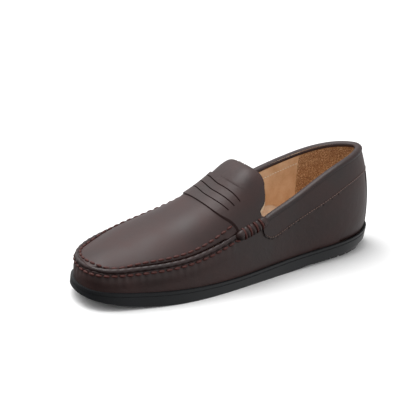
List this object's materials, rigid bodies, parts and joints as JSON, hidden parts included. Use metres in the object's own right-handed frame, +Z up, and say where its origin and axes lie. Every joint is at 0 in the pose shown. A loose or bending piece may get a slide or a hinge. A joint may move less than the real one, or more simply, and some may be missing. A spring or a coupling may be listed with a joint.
{
  "type": "moccasin",
  "caption": "Brown leather saddle-strap moccasin loafer, left foot, hand-sewn apron, beef rolls, black rubber sole.",
  "frame": {"origin": "On the ground under the middle of the shoe.", "axes": "+Y is the heel end of the length, -Y the toe, +X the outer side of the left shoe, +Z up."},
  "size_m": [0.0995, 0.2917, 0.0984],
  "materials": {
    "upper_leather": "satin",
    "lining_leather": "matte",
    "sock_leather": "matte",
    "grip_suede": "matte",
    "sole_rubber": "matte",
    "stiffener_board": "matte",
    "padding_foam": "matte",
    "filler_cork": "matte",
    "shank_steel": "satin",
    "hand_thread": "matte",
    "fine_thread": "matte"
  },
  "bodies": {
    "shoe": {"outsole": "sole_rubber", "heel_lift": "sole_rubber", "wrap": "upper_leather", "apron": "upper_leather", "apron_ridge": "upper_leather", "strap": "upper_leather", "beef_roll_outer": "upper_leather", "beef_roll_inner": "upper_leather", "collar_band": "upper_leather", "back_strip": "upper_leather", "topline_binding": "upper_leather", "toe_puff": "stiffener_board", "heel_counter": "stiffener_board", "collar_foam": "padding_foam", "vamp_lining": "lining_leather", "quarter_lining_outer": "lining_leather", "quarter_lining_inner": "lining_leather", "heel_grip": "grip_suede", "forefoot_filler": "filler_cork", "shank": "shank_steel", "heel_filler": "filler_cork", "insole_board": "stiffener_board", "insole_foam": "padding_foam", "sock_lining": "sock_leather", "wrap_stitching": "hand_thread", "apron_stitching": "hand_thread", "roll_thread_outer": "hand_thread", "roll_thread_inner": "hand_thread", "collar_stitching": "fine_thread", "apron_lining": "lining_leather"},
    "tongue_flap": {"tongue": "upper_leather", "tongue_lining": "lining_leather"}
  },
  "joints": [
    {"name": "tongue_lift", "type": "hinge", "parent": "shoe", "child": "tongue_flap", "pos_m": [0, -0.0038, 0.0875], "axis": [1, 0, 0], "range_deg": [0, 30], "stiffness_Nm_per_rad": 0.05}
  ]
}
